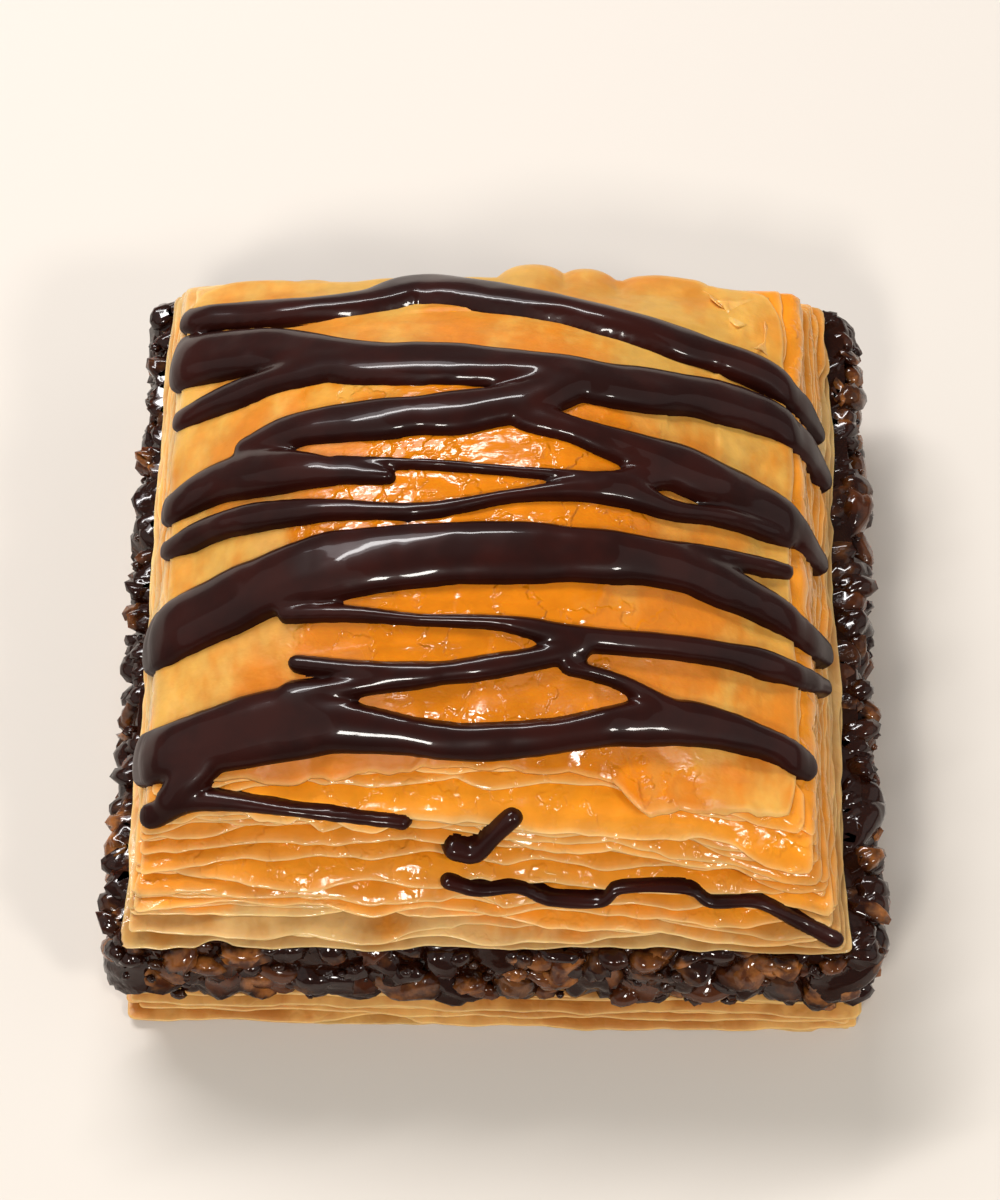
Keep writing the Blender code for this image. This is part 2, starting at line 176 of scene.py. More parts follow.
def new_piece(name, parts, node, material, aside=0.0):
    """One mesh object of (points, faces, attributes) parts in millimetres, shaded smooth, on the root body,
    with its place moved aside along x."""
    points = (np.concatenate([part[0].reshape(-1, 3) for part in parts]) + (aside, 0, 0)) * MM
    starts = np.cumsum([0] + [part[0].size // 3 for part in parts[:-1]])
    turned = [face_out(part[0].reshape(-1, 3), part[1]) + start for part, start in zip(parts, starts)]
    sizes = np.concatenate([np.full(len(faces), faces.shape[1]) for faces in turned])
    corners = np.concatenate([faces.reshape(-1) for faces in turned])
    mesh = bpy.data.meshes.new(name)
    mesh.vertices.add(len(points))
    mesh.vertices.foreach_set("co", points.astype(np.float32).reshape(-1))
    mesh.loops.add(len(corners))
    mesh.loops.foreach_set("vertex_index", corners.astype(np.int32))
    mesh.polygons.add(len(sizes))
    mesh.polygons.foreach_set("loop_start", np.concatenate([[0], np.cumsum(sizes)[:-1]]).astype(np.int32))
    mesh.update(calc_edges=True)
    for key in parts[0][2]:
        values = np.concatenate([np.asarray(part[2][key]).reshape(-1) for part in parts])
        mesh.attributes.new(key, "FLOAT", "POINT").data.foreach_set("value", values.astype(np.float32))
    mesh.shade_smooth()
    mesh.materials.append(material)
    piece = bpy.data.objects.new(name, mesh)
    bpy.context.scene.collection.objects.link(piece)
    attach(piece, "root")
    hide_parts(node)
    return piece


def fill(tree, node, inputs):
    """Each named input of a node either linked from a socket or given a value."""
    for key, value in inputs.items():
        if isinstance(value, bpy.types.NodeSocket):
            tree.links.new(value, node.inputs[key])
        else:
            node.inputs[key].default_value = value


def add_node(tree, kind, inputs=None, **settings):
    """A shader node with its settings and its inputs."""
    made = tree.nodes.new(kind)
    for key, value in settings.items():
        setattr(made, key, value)
    fill(tree, made, inputs or {})
    return made


def blend(tree, share, first, second):
    """A colour between two others."""
    mix = add_node(tree, "ShaderNodeMix", {0: share, 6: first, 7: second}, data_type="RGBA")
    return mix.outputs[2]


def between(tree, value, low, high, to_low=0.0, to_high=1.0):
    """A value mapped from one range to another on a smooth curve, and held at its ends."""
    inputs = {"Value": value, 1: low, 2: high, 3: to_low, 4: to_high}
    return add_node(tree, "ShaderNodeMapRange", inputs, interpolation_type="SMOOTHSTEP").outputs[0]


def calculate(tree, operation, first, second):
    """Two values put together by the arithmetic named."""
    return add_node(tree, "ShaderNodeMath", {0: first, 1: second}, operation=operation).outputs[0]


def added(tree, first, second):
    """The sum of two values."""
    return calculate(tree, "ADD", first, second)


def multiplied(tree, first, second):
    """The product of two values."""
    return calculate(tree, "MULTIPLY", first, second)


def noise(tree, where, scale, detail=3.0, roughness=0.55, stretch=(1, 1, 1)):
    """Soft random blotches, from about 0.3 to 0.7, that many to the metre, stretched along an axis."""
    moved = add_node(tree, "ShaderNodeMapping", {"Vector": where, "Scale": stretch})
    inputs = {"Vector": moved.outputs[0], "Scale": scale, "Detail": detail, "Roughness": roughness}
    return add_node(tree, "ShaderNodeTexNoise", inputs).outputs[0]


def attribute(tree, name):
    """A value that the mesh holds at each of its points."""
    return add_node(tree, "ShaderNodeAttribute", attribute_name=name).outputs["Fac"]


def place_on(tree):
    """The place on the piece, in metres."""
    return add_node(tree, "ShaderNodeTexCoord").outputs["Object"]


def bumped(tree, height, distance, strength):
    """The surface's direction, tilted as if a height of 1 stood out by the distance in metres."""
    inputs = {"Height": height, "Distance": distance, "Strength": strength}
    return add_node(tree, "ShaderNodeBump", inputs).outputs[0]


def new_group(name, inputs, outputs):
    """An empty shader node group with (name, socket kind) inputs and outputs."""
    tree = bpy.data.node_groups.new(name, "ShaderNodeTree")
    for label, kind in inputs:
        tree.interface.new_socket(label, in_out="INPUT", socket_type=kind)
    for label, kind in outputs:
        tree.interface.new_socket(label, in_out="OUTPUT", socket_type=kind)
    return tree, tree.nodes.new("NodeGroupInput"), tree.nodes.new("NodeGroupOutput")


def baked_leaf_group():
    """Baked pastry's colour, bump and roughness. The colour is cream to gold in soft clouds, orange where
    syrup has soaked in or stands in pools, paler at a leaf's rim, and darker or lighter from leaf to
    leaf. The rim's paleness is partly the thin edge's own colour and partly painted light: a painted
    highlight along the edge, fading to painted shade further in. The bump has fibres, spots and the
    pools' steep shores, and glaze makes the surface smooth."""
    sockets = [("Where", "NodeSocketVector")]
    sockets += [(label, "NodeSocketFloat") for label in ("Soak", "Rim", "Tone", "Glaze", "Dry", "Wet")]
    sockets += [(label, "NodeSocketColor") for label in ("Pale", "Gold", "Orange", "Rim colour")]
    results = [("Color", "NodeSocketColor"), ("Height", "NodeSocketFloat"), ("Roughness", "NodeSocketFloat")]
    tree, given, result = new_group("baked_leaf", sockets, results)
    outputs = (given.outputs[label] for label, _ in sockets)
    where, soak, rim, tone, glaze, dry, wet, pale, gold, orange, rim_colour = outputs
    clouds = noise(tree, where, 120, 4, 0.6, (1, 0.6, 1))
    spots = noise(tree, where, 420, 3)
    fibres = noise(tree, where, 700, 3, 0.6, (0.35, 1, 1))
    shores = between(tree, noise(tree, where, 260, 3), 0.5, 0.57)
    pools = multiplied(tree, shores, calculate(tree, "POWER", glaze, 1.6))
    soaked = added(tree, soak, between(tree, clouds, 0.3, 0.7, -0.35, 0.35))
    soaked = added(tree, soaked, multiplied(tree, pools, 0.2))
    colour = blend(tree, between(tree, clouds, 0.38, 0.62), pale, gold)
    colour = blend(tree, between(tree, soaked, 0.15, 0.95), colour, orange)
    colour = blend(tree, multiplied(tree, rim, 0.75), colour, rim_colour)
    spotted = between(tree, spots, 0.3, 0.7, 0.9, 1.05)
    shade = multiplied(tree, spotted, between(tree, tone, 0, 1, 0.84, 1.06))
    tinted = add_node(tree, "ShaderNodeVectorMath", {0: colour, "Scale": shade}, operation="SCALE")
    fine = added(tree, multiplied(tree, fibres, 0.3), multiplied(tree, spots, 0.5))
    gloss = added(tree, glaze, between(tree, noise(tree, where, 130, 3), 0.3, 0.7, -0.3, 0.3))
    smoother = multiplied(tree, between(tree, gloss, 0.1, 0.9), calculate(tree, "SUBTRACT", wet, dry))
    fill(tree, result, {
        "Color": tinted.outputs[0],
        "Height": added(tree, fine, multiplied(tree, pools, 0.7)),
        "Roughness": added(tree, dry, smoother),
    })
    return tree


BAKED_LEAF = baked_leaf_group()


def new_material(name):
    """A material with its node tree and its shader."""
    material = bpy.data.materials.new(name)
    material.use_nodes = True
    return material, material.node_tree, material.node_tree.nodes["Principled BSDF"]


def pastry_material(name, colours, bump, dry, wet, shine):
    """Baked pastry whose soak, rim, tone and glaze are read from the mesh: the bump's height, how rough it
    is where it is dry and where it is wet, and how strongly it shines."""
    material, tree, shader = new_material(name)
    leaf = add_node(tree, "ShaderNodeGroup", node_tree=BAKED_LEAF)
    fill(tree, leaf, {"Where": place_on(tree), "Dry": dry, "Wet": wet})
    fill(tree, leaf, {label: attribute(tree, label.lower()) for label in ("Soak", "Rim", "Tone", "Glaze")})
    for label, colour in zip(("Pale", "Gold", "Orange", "Rim colour"), colours):
        leaf.inputs[label].default_value = (*colour, 1)
    fill(tree, shader, {
        "Base Color": leaf.outputs["Color"],
        "Roughness": leaf.outputs["Roughness"],
        "Normal": bumped(tree, leaf.outputs["Height"], bump, 0.8),
        "Specular IOR Level": shine,
        "Subsurface Weight": 0.2,
        "Subsurface Radius": (1.0, 0.42, 0.12),
        "Subsurface Scale": 0.0012,
    })
    return material


def base_leaf(index):
    """A leaf of the base: flat, and a little out of line with its neighbours."""
    seed = 400 + 20 * index
    drawn = np.random.default_rng(seed)
    height = LEAF_THICK / 2 + index / (BASE_LEAVES - 1) * (BASE_HIGH - LEAF_THICK)
    wide, long = BASE_WIDE + drawn.uniform(*OUT_OF_LINE), BASE_LONG + drawn.uniform(*OUT_OF_LINE)
    lift = round_hills((0.2, 11, 470), (0.18, 6, seed + 6)) * (0 < index < BASE_LEAVES - 1)
    reach = (wide, wide, long, long)
    points, values = leaf_ring(reach, lambda a, b: np.full_like(a * b, height), lift, (0.0, 0.0), seed)
    points[..., 2] = np.clip(points[..., 2], 0, BASE_HIGH)
    values |= {"soak": 0.25 + 0.4 * values["tone"], "glaze": np.full_like(values["tone"], 0.6)}
    return points, ring_faces(*points.shape[:2]), values


def lattice_slab(top, foot, keep=None):
    """A closed slab of the kept squares of a lattice, or of all of them: the top's squares, the foot's
    squares, and a wall between them wherever a kept square meets one that isn't kept, or the lattice's
    end. It also gives the number that each point had in the lattice."""
    rows, columns = top.shape[:2]
    keep = np.ones((rows - 1, columns - 1), bool) if keep is None else keep
    index = np.arange(rows * columns).reshape(rows, columns)
    corners = np.stack([index[:-1, :-1], index[1:, :-1], index[1:, 1:], index[:-1, 1:]], axis=-1)
    count = rows * columns
    faces = [corners[keep], corners[keep][:, ::-1] + count]
    framed = np.pad(keep, 1)
    walls = {(-1, 0): (3, 0), (1, 0): (1, 2), (0, -1): (0, 1), (0, 1): (2, 3)}
    for (down, right), ends in walls.items():
        beside = framed[1 + down : rows + down, 1 + right : columns + right]
        start, end = corners[keep & ~beside][:, ends].T
        faces.append(np.stack([end, start, start + count, end + count], axis=-1))
    points = np.concatenate([top.reshape(-1, 3), foot.reshape(-1, 3)])
    used, faces = np.unique(np.concatenate(faces), return_inverse=True)
    return points[used], faces.reshape(-1, 4), used


def unit_square(count):
    """Places from -1 to 1 both ways, count of them along each side."""
    return np.meshgrid(np.linspace(-1, 1, count), np.linspace(-1, 1, count), indexing="ij")


def block(reach, low, high, count, tone):
    """A plain closed part for what lies behind the leaves: a lattice over the top and one over the foot,
    joined round the sides, with the top's height given as a function of the place in plan."""
    x, y = spread(*unit_square(count), reach)
    top = np.stack([x, y, high(x, y)], axis=-1)
    foot = np.stack([x, y, np.full_like(x, low)], axis=-1)
    points, faces, _ = lattice_slab(top, foot)
    plain = np.full(len(points), tone)
    return points, faces, {"rim": plain * 0, "tone": plain, "soak": plain, "glaze": plain}


base_pastry = pastry_material(
    "syrup_soaked_leaves", ((0.7, 0.38, 0.11), (0.58, 0.25, 0.05), (0.42, 0.135, 0.017), (0.85, 0.53, 0.2)),
    bump=0.0002, dry=0.45, wet=0.2, shine=0.2,
)
core_reach = [reach - CORE_INSET for reach in (BASE_WIDE, BASE_WIDE, BASE_LONG, BASE_LONG)]
base_core = block(core_reach, CORE_GAP, lambda x, y: np.full_like(x, BASE_HIGH - CORE_GAP), 12, 0.4)
base_parts = [base_leaf(index) for index in range(BASE_LEAVES)] + [base_core]
base_leaves = new_piece("fine_base_leaves", base_parts, "base_leaves", base_pastry)


# Nut filling: walnuts chopped by hand and stirred with dark chocolate syrup, spread between the two
# stacks. Cut and pressed, it bulges past the leaves, and every nut wears a wet, glossy coat.

FILLING_LOW, FILLING_HIGH = (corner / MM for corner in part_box("nut_filling"))
LEAVES_LOW, LEAVES_HIGH = (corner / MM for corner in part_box("top_leaves"))
CORE_WIDE = FILLING_HIGH.x - 2.5
CORE_LONG = FILLING_HIGH.y - 2.5
CORE_ROWS = 30
BULGE = 0.9
NUT_CUTS = 7
NUT_ABOVE = 0.9
WALK_STEPS = 4000
SYRUP = (0.016, 0.0036, 0.0014)


def filling_core():
    """The syrup and its crumbs: a closed wall round the piece that bulges between floor and roof by the
    sine of its height, roughened by hills of three sizes, and capped towards the middle."""
    a, b, out_a, out_b = square_walk(PLACES_ROUND)
    turn = np.arange(PLACES_ROUND)[:, None] * 0.5
    share = np.linspace(0, 1, CORE_ROWS)[None, :]
    height = FILLING_LOW.z + 0.05 + share * (FILLING_HIGH.z - FILLING_LOW.z - 0.1)
    lumps = layered(turn, height, (0.9, 3.6, 71), (0.4, 1.7, 72), (0.1, 0.8, 73))
    out = BULGE * np.sin(math.pi * share) + lumps * rise(share * (1 - share), 0, 0.08)
    x = (a * CORE_WIDE)[:, None] + out_a[:, None] * out
    y = (b * CORE_LONG)[:, None] + out_b[:, None] * out
    wall = np.stack([x, y, np.broadcast_to(height, x.shape)], axis=-1)
    inner = wall[:, [-1, 0]] * (0.6, 0.6, 1)
    return np.concatenate([wall, inner], axis=1)


def sphere_directions(rows, columns):
    """Directions over a sphere, row by row between its two poles, and the triangles between them, with a
    fan of triangles at each pole."""
    polar = np.linspace(0, math.pi, rows + 2)[1:-1, None]
    turn = np.arange(columns)[None, :] * math.tau / columns
    turn = turn + 0.5 * (np.arange(rows)[:, None] % 2) * math.tau / columns
    ring = [np.sin(polar) * np.cos(turn), np.sin(polar) * np.sin(turn), np.cos(polar) + 0 * turn]
    directions = np.concatenate([np.stack(ring, axis=-1).reshape(-1, 3), [[0, 0, 1], [0, 0, -1]]])
    start = np.arange(columns)
    after = (start + 1) % columns
    down = (np.arange(rows - 1) * columns)[:, None]
    first = np.stack([down + start, down + columns + start, down + after], axis=-1).reshape(-1, 3)
    second = np.stack([down + after, down + columns + start, down + columns + after], axis=-1).reshape(-1, 3)
    last = (rows - 1) * columns
    top = np.stack([start, after, np.full(columns, rows * columns)], axis=-1)
    foot = np.stack([last + after, last + start, np.full(columns, rows * columns + 1)], axis=-1)
    return directions, np.concatenate([first, second, top, foot])


def nut_reach(directions, count, drawn):
    """How far each nut reaches in each direction: cut back by random flat cuts, whose edges are rubbed
    round by adding up their sixth powers, and roughened by waves of three sizes."""
    cuts = drawn.normal(size=(count, NUT_CUTS, 3))
    cuts /= np.linalg.norm(cuts, axis=-1, keepdims=True)
    cuts /= drawn.uniform(0.72, 1.0, (count, NUT_CUTS, 1))
    facing = np.clip(np.einsum("vi,cki->cvk", directions, cuts), 0.02, None)
    reach = np.clip((facing**6).sum(-1) ** (-1 / 6), 0.5, 1.25)
    for frequency, size in ((3.1, 0.07), (6.3, 0.035), (11.0, 0.015)):
        ways = drawn.normal(size=(count, 3)) * frequency
        reach += size * np.sin(directions @ ways.T + drawn.uniform(0, math.tau, count)).T
    return reach


def pressed(points, places):
    """The nuts moved in until none stands past the filling's sides, and pressed flat under the upper
    leaves, past whose edges they may stand a little higher."""
    limit = np.array([FILLING_HIGH.x, FILLING_HIGH.y])
    over = np.clip(np.abs(points[..., :2]).max(1) - limit, 0, None) * np.sign(places[:, :2])
    points[..., :2] -= over[:, None, :]
    beyond_x = np.maximum(LEAVES_LOW.x - points[..., 0], points[..., 0] - LEAVES_HIGH.x)
    beyond_y = np.maximum(LEAVES_LOW.y - points[..., 1], points[..., 1] - LEAVES_HIGH.y)
    ceiling = FILLING_HIGH.z + NUT_ABOVE * rise(np.maximum(beyond_x, beyond_y), 0, 0.5)
    points[..., 2] = np.minimum(points[..., 2], ceiling)
    return points


def chopped(places, sizes, stretch, detail, seed):
    """Chopped nuts at the places given: a sphere's directions to each nut's own reach, stretched and
    turned at random, made low enough for their place, and pressed between the leaves.

    Each has a tone of its own, and two masks: where its meat is bare, which is on top and outside and more
    so on some nuts than on others, and where it is wet, which is its upper half.
    """
    drawn = np.random.default_rng(seed)
    count = len(places)
    directions, faces = sphere_directions(*detail)
    reach = nut_reach(directions, count, drawn)
    turned, _ = np.linalg.qr(drawn.normal(size=(count, 3, 3)) + np.diag((2.2, 0, 0)))
    long, high = drawn.uniform(1, stretch, count), drawn.uniform(0.7, 1, count)
    scale = np.stack([long, np.ones(count), high], axis=-1) * sizes[:, None]
    points = np.einsum("cvi,cij->cvj", directions[None] * reach[..., None] * scale[:, None, :], turned)
    room = np.minimum(places[:, 2] - FILLING_LOW.z + 0.1, FILLING_HIGH.z + NUT_ABOVE - places[:, 2])
    points[..., 2] *= np.minimum(1, room / np.abs(points[..., 2]).max(1))[:, None]
    above = points[..., 2] / sizes[:, None]
    points = pressed(points + places[:, None, :], places)
    all_faces = (faces[None] + (np.arange(count) * len(directions))[:, None, None]).reshape(-1, 3)
    tone = np.repeat(drawn.uniform(size=count), len(directions))
    outside = np.maximum(np.abs(points[..., 0]) - CORE_WIDE, np.abs(points[..., 1]) - CORE_LONG)
    outside = np.maximum(outside, points[..., 2] - FILLING_HIGH.z + 0.6)
    bare = rise(outside, 0.1, 1.7) * rise(above, -0.8, 0.3)
    bare = bare * drawn.choice((0.1, 1.0), (count, 1), p=(0.52, 0.48))
    return points.reshape(-1, 3), all_faces, {"tone": tone, "bare": bare, "wet": rise(above, -0.25, 0.45)}


def scattered_places(count, shares, sunk, seed):
    """Places on the filling's wall, one in each of count equal stretches of the walk round it, moved along
    it and up it at random between two shares of its height, and out from it by a distance drawn between
    two."""
    drawn = np.random.default_rng(seed)
    a, b, out_a, out_b = square_walk(WALK_STEPS)
    at = ((np.arange(count) + drawn.uniform(0, 1, count)) * WALK_STEPS / count).astype(int) % WALK_STEPS
    height = FILLING_LOW.z + drawn.uniform(*shares, count) * (FILLING_HIGH.z - FILLING_LOW.z)
    out = drawn.uniform(*sunk, count)
    x, y = a[at] * CORE_WIDE + out_a[at] * out, b[at] * CORE_LONG + out_b[at] * out
    return np.stack([x, y, height], axis=-1)


def nut_material(name, light, dark):
    """Nut meat in two browns that change from nut to nut, in dark syrup wherever it isn't bare, with small
    dimples and a hard, clear gloss where it is wet."""
    material, tree, shader = new_material(name)
    where = place_on(tree)
    meat = blend(tree, between(tree, noise(tree, where, 600, 4), 0.35, 0.65), (*light, 1), (*dark, 1))
    meat = blend(tree, between(tree, attribute(tree, "tone"), 0.0, 0.9), meat, (*dark, 1))
    film = between(tree, noise(tree, where, 260, 3), 0.3, 0.7, -0.45, 0.45)
    film = added(tree, attribute(tree, "bare"), film)
    dimples = multiplied(tree, noise(tree, where, 1500, 2), 0.45)
    dimples = added(tree, dimples, noise(tree, where, 520, 2))
    fill(tree, shader, {
        "Base Color": blend(tree, between(tree, film, 0.2, 1.0), (*SYRUP, 1), meat),
        "Normal": bumped(tree, dimples, 0.0003, 0.8),
        "Roughness": 0.13,
        "Specular IOR Level": 0.05,
        "Coat Weight": between(tree, attribute(tree, "wet"), 0, 1, 0.08, 0.7),
        "Coat Roughness": 0.05,
        "Subsurface Weight": 0.15,
        "Subsurface Radius": (1.0, 0.4, 0.15),
        "Subsurface Scale": 0.0015,
    })
    return material


walnut = nut_material("syrup_coated_walnut", (0.34, 0.12, 0.026), (0.06, 0.014, 0.003))
wet_crumb = nut_material("dark_syrup_and_crumbs", (0.07, 0.02, 0.004), (0.025, 0.007, 0.002))
drawn_sizes = np.random.default_rng(52)


def scattered_nuts(count, sizes, shares, sunk, stretch, detail, seed):
    """Chopped nuts of one kind, scattered over the filling's wall."""
    places = scattered_places(count, shares, sunk, seed)
    return chopped(places, drawn_sizes.uniform(*sizes, count), stretch, detail, seed + 1)


core_points = filling_core()
core_values = {"tone": 0.8, "bare": 0.2, "wet": 0.4}
core_values = {key: np.full(core_points.shape[:2], value) for key, value in core_values.items()}
core_part = (core_points, ring_faces(*core_points.shape[:2]), core_values)
large = scattered_nuts(110, (2.0, 3.6), (0.25, 0.75), (-0.9, 0.5), 1.7, (17, 28), 5)
middling = scattered_nuts(170, (0.9, 1.7), (0.12, 0.88), (-0.2, 1.2), 1.7, (6, 9), 7)
on_ledge = scattered_nuts(170, (0.9, 1.8), (0.84, 0.96), (-1.6, 0.6), 1.7, (6, 9), 11)
small = scattered_nuts(380, (0.3, 0.65), (0.06, 0.94), (0.4, 1.6), 1.6, (4, 6), 9)
filling = new_piece("filling_core", [core_part], "nut_filling", wet_crumb)
nuts = new_piece("chopped_walnuts", [large], "nut_filling", walnut)
nut_bits = new_piece("walnut_bits", [middling, on_ledge], "nut_filling", walnut)
crumbs = new_piece("filling_crumbs", [small], "nut_filling", wet_crumb)


# Top leaves: some twenty buttered leaves that puffed up in the oven. Their cut edges fan out at the
# sides, and at the front each one ends a little further back than the leaf below it. The places here
# and below are measured from the crown's middle, which is CROWN_ASIDE off the middle of the piece.

TOP_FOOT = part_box("top_leaves")[0].z / MM
CROWN_ASIDE = -1.7
EDGE_TOP = 26.5
CROWN_TOP = 40.0
CROWN_WIDE = 29.5
CROWN_LONG = 31.5
CROWN_FRONT = 25.0
CROWN_REACH = (CROWN_WIDE, CROWN_WIDE, CROWN_FRONT, CROWN_LONG)
FOOT_REACH = (31.8, 34.0, 35.8, 35.2)
INNER_INSET = (4.0, 4.0, 3.5, 4.0)
INNER_SUNK = 1.2
PILLOW_POWER = 2.4
CORNER_DROP = 2.5
TOP_LEAVES = 22
MAP_STEP = 0.25
MAP_HALF = 40.0


def pillow(x, y):
    """Height of the crown: highest in the middle, and falling to all four edges by a power of the way out,
    with its corners drawn down a little more."""
    side, end = np.minimum(np.abs(x) / CROWN_WIDE, 1), np.minimum(np.abs(y) / CROWN_LONG, 1)
    swell = (CROWN_TOP - EDGE_TOP) * (1 - side**PILLOW_POWER) * (1 - end**PILLOW_POWER)
    return EDGE_TOP + swell - CORNER_DROP * (side * end) ** 3


def leaf_levels():
    """Level of each leaf from 0, the foot, to just under 1, the crown. The gaps between leaves are drawn
    from a few tight and a few wide ones, because leaves bake together in twos and threes."""
    gaps = np.random.default_rng(31).choice((0.2, 0.45, 1.3, 2.3), TOP_LEAVES, p=(0.33, 0.25, 0.22, 0.2))
    return np.concatenate([[0], np.cumsum(gaps[:-1])]) / gaps.sum()


def shelves(b, x, y, level, seed):
    """How far a leaf's edge stands out of line, at the sides and at the front and back: far at the front,
    where each leaf leaves a shelf of its own width and the upper ones come lower at the right, less at
    the back, and least at the left and right."""
    front = waves(x, (1.5, 19, seed), (0.6, 5, seed + 1))
    front += 0.9 * (np.abs(waves(x, (1, 6, seed + 2))) - 0.3) * level + 1.5 * level * x / CROWN_WIDE
    back = waves(x, (0.7, 9, seed + 3))
    sides = waves(y, (0.5, 13, seed + 4), (0.3, 4, seed + 5))
    return sides, np.where(b < 0, front * rise(level, -0.1, 0.12), back)


def top_leaf(index, level):
    """A leaf of the upper stack: its reach and its height lie between the foot's and the crown's, and it
    flutters with its neighbours and a little by itself, curling up where its own hills are highest."""
    seed = 1000 + 20 * index
    drawn = np.random.default_rng(seed)
    ends = zip(FOOT_REACH, CROWN_REACH)
    reach = [foot + (crown - foot) * level + drawn.uniform(-0.3, 0.3) for foot, crown in ends]
    a, b, _, _ = square_walk(PLACES_ROUND)
    shift = shelves(b, a * CROWN_WIDE, b * CROWN_LONG, level, seed + 10)
    shared = round_hills((0.34, 9, 77), (0.2, 4, 78))
    curl = 1.2 * np.clip(round_hills((1, 8, seed + 6)) - 0.5, 0, 1)
    lift = shared * min(1.0, 5 * level) + round_hills((0.2, 5, seed + 5)) + curl * rise(level, 0.05, 0.2)

    def surface(a, b):
        """The leaf's height: its level's share of the way from the foot up to the crown."""
        roof = pillow(*spread(a, b, CROWN_REACH))
        return TOP_FOOT + LEAF_THICK / 2 + (roof - TOP_FOOT) * level

    points, values = leaf_ring(reach, surface, lift, shift, seed)
    points[..., 2] = np.maximum(points[..., 2], TOP_FOOT)
    height = points[..., 2] + 1.5 * hills(points[..., 0], points[..., 1], 7, 240)
    at_front, at_right = rise(-points[..., 1], 14, 25), rise(points[..., 0], 20, 28)
    soak = rise(height, 18, 21.5) * np.maximum(0.4 + 0.75 * at_front, 0.85 * at_right)
    values |= {"soak": soak, "glaze": 0.5 + 0.3 * soak, "rim": values["rim"] * (1 - 0.35 * at_right)}
    # The lowest leaves' tone is drawn down, which paints them darker: painted shade at the foot of the stack.
    values["tone"] = values["tone"] * (0.2 + 0.8 * rise(level, 0, 0.2))
    return points, ring_faces(*points.shape[:2]), values


def finer(lattice, times):
    """The lattice with straight steps put in between its rows and between its columns."""
    for count in times:
        shares = (np.arange(count) / count).reshape(1, -1, 1, 1)
        steps = lattice[:, None] * (1 - shares) + np.roll(lattice, -1, 0)[:, None] * shares
        lattice = steps.reshape(-1, *lattice.shape[1:]).swapaxes(0, 1)
    return lattice


def soften(values, times):
    """Each value mixed with its neighbours along both sides of the lattice, one part each side to two."""
    for _ in range(times):
        padded = np.pad(values, 1, mode="edge")
        padded = 0.25 * padded[:-2] + 0.5 * padded[1:-1] + 0.25 * padded[2:]
        values = 0.25 * padded[:, :-2] + 0.5 * padded[:, 1:-1] + 0.25 * padded[:, 2:]
    return values


def add_to_map(heights, lattice, times):
    """The map with a surface laid over it: a map holds the highest point of square cells in plan."""
    x, y, z = finer(lattice, times).reshape(-1, 3).T
    column, row = np.rint((np.stack([x, y]) + MAP_HALF) / MAP_STEP).astype(int)
    order = np.argsort(z)
    found = np.full(heights.shape, -np.inf)
    found[column[order], row[order]] = z[order]
    return np.maximum(heights, found)


def read_map(heights, x, y):
    """The map's height at places between its cells, in proportion to how near each of the four is."""
    across, along = (x + MAP_HALF) / MAP_STEP, (y + MAP_HALF) / MAP_STEP
    column, row = across.astype(int), along.astype(int)
    s, t = across - column, along - row
    near = heights[column, row] * (1 - s) + heights[column + 1, row] * s
    far = heights[column, row + 1] * (1 - s) + heights[column + 1, row + 1] * s
    return near * (1 - t) + far * t


def lay_leaf(points, heights):
    """Lifts a leaf wherever its underside would cut the leaves below it, with the lift softened along it."""
    under = points[:, : len(LEAF_DEPTHS) - 1 : -1]
    lift = np.clip(read_map(heights, under[..., 0], under[..., 1]) + 0.03 - under[..., 2], 0, 3)
    lift = np.maximum(lift, np.maximum(np.roll(lift, 1, 0), np.roll(lift, -1, 0)))
    lift = 0.25 * np.roll(lift, 1, 0) + 0.5 * lift + 0.25 * np.roll(lift, -1, 0)
    points[..., 2] += np.hstack([lift, lift[:, ::-1]])


side_pastry = pastry_material(
    "fanned_leaves", ((0.66, 0.375, 0.13), (0.46, 0.18, 0.028), (0.86, 0.27, 0.008), (0.98, 0.67, 0.3)),
    bump=0.00022, dry=0.36, wet=0.1, shine=0.24,
)
inside = [edge - inset for edge, inset in zip(CROWN_REACH, INNER_INSET)]
inner = block(inside, TOP_FOOT + CORE_GAP, lambda x, y: pillow(x, y) - INNER_SUNK, 24, 0.3)
leaf_parts = [top_leaf(index, level) for index, level in enumerate(leaf_levels())]
leaf_map = np.full((round(2 * MAP_HALF / MAP_STEP) + 1,) * 2, TOP_FOOT)
for points, _, _ in leaf_parts:
    lay_leaf(points, leaf_map)
    leaf_map = add_to_map(leaf_map, points[:, : len(LEAF_DEPTHS)], (3, 12))
stacks = {
    "lower_top_leaves": leaf_parts[:8],
    "middle_top_leaves": leaf_parts[8:15] + [inner],
    "upper_top_leaves": leaf_parts[15:],
}
for name, parts in stacks.items():
    stack = new_piece(name, parts, "top_leaves", side_pastry, CROWN_ASIDE)


# Crown leaf: the uppermost leaf, brushed with butter and glazed with syrup. It is orange and glassy in
# the middle, where the syrup lies thick, and dry and pale towards its wavy edges. Its back edge stands
# up in scallops, and small torn flakes lie about it.

CROWN_PLACES = 221
CORNER_PULL = 1.2
TEAR_AT = 15.5
TEAR_DROP = 2.4
TEAR_TIP = 1.1
BACK_SCALLOPS = ((4.2, 3.7, 2.2), (9.8, 3.2, 1.8), (17.4, 5.0, 1.9), (-21, 6.0, 0.9))
FLAKES = ((25.5, 28.2, 2.4, 0.4), (27.6, 24.6, 1.7, 1.3), (22.6, 30.0, 1.5, 2.2), (28.3, 19.5, 1.3, 0.2))
FLAKE_THICK = 0.16


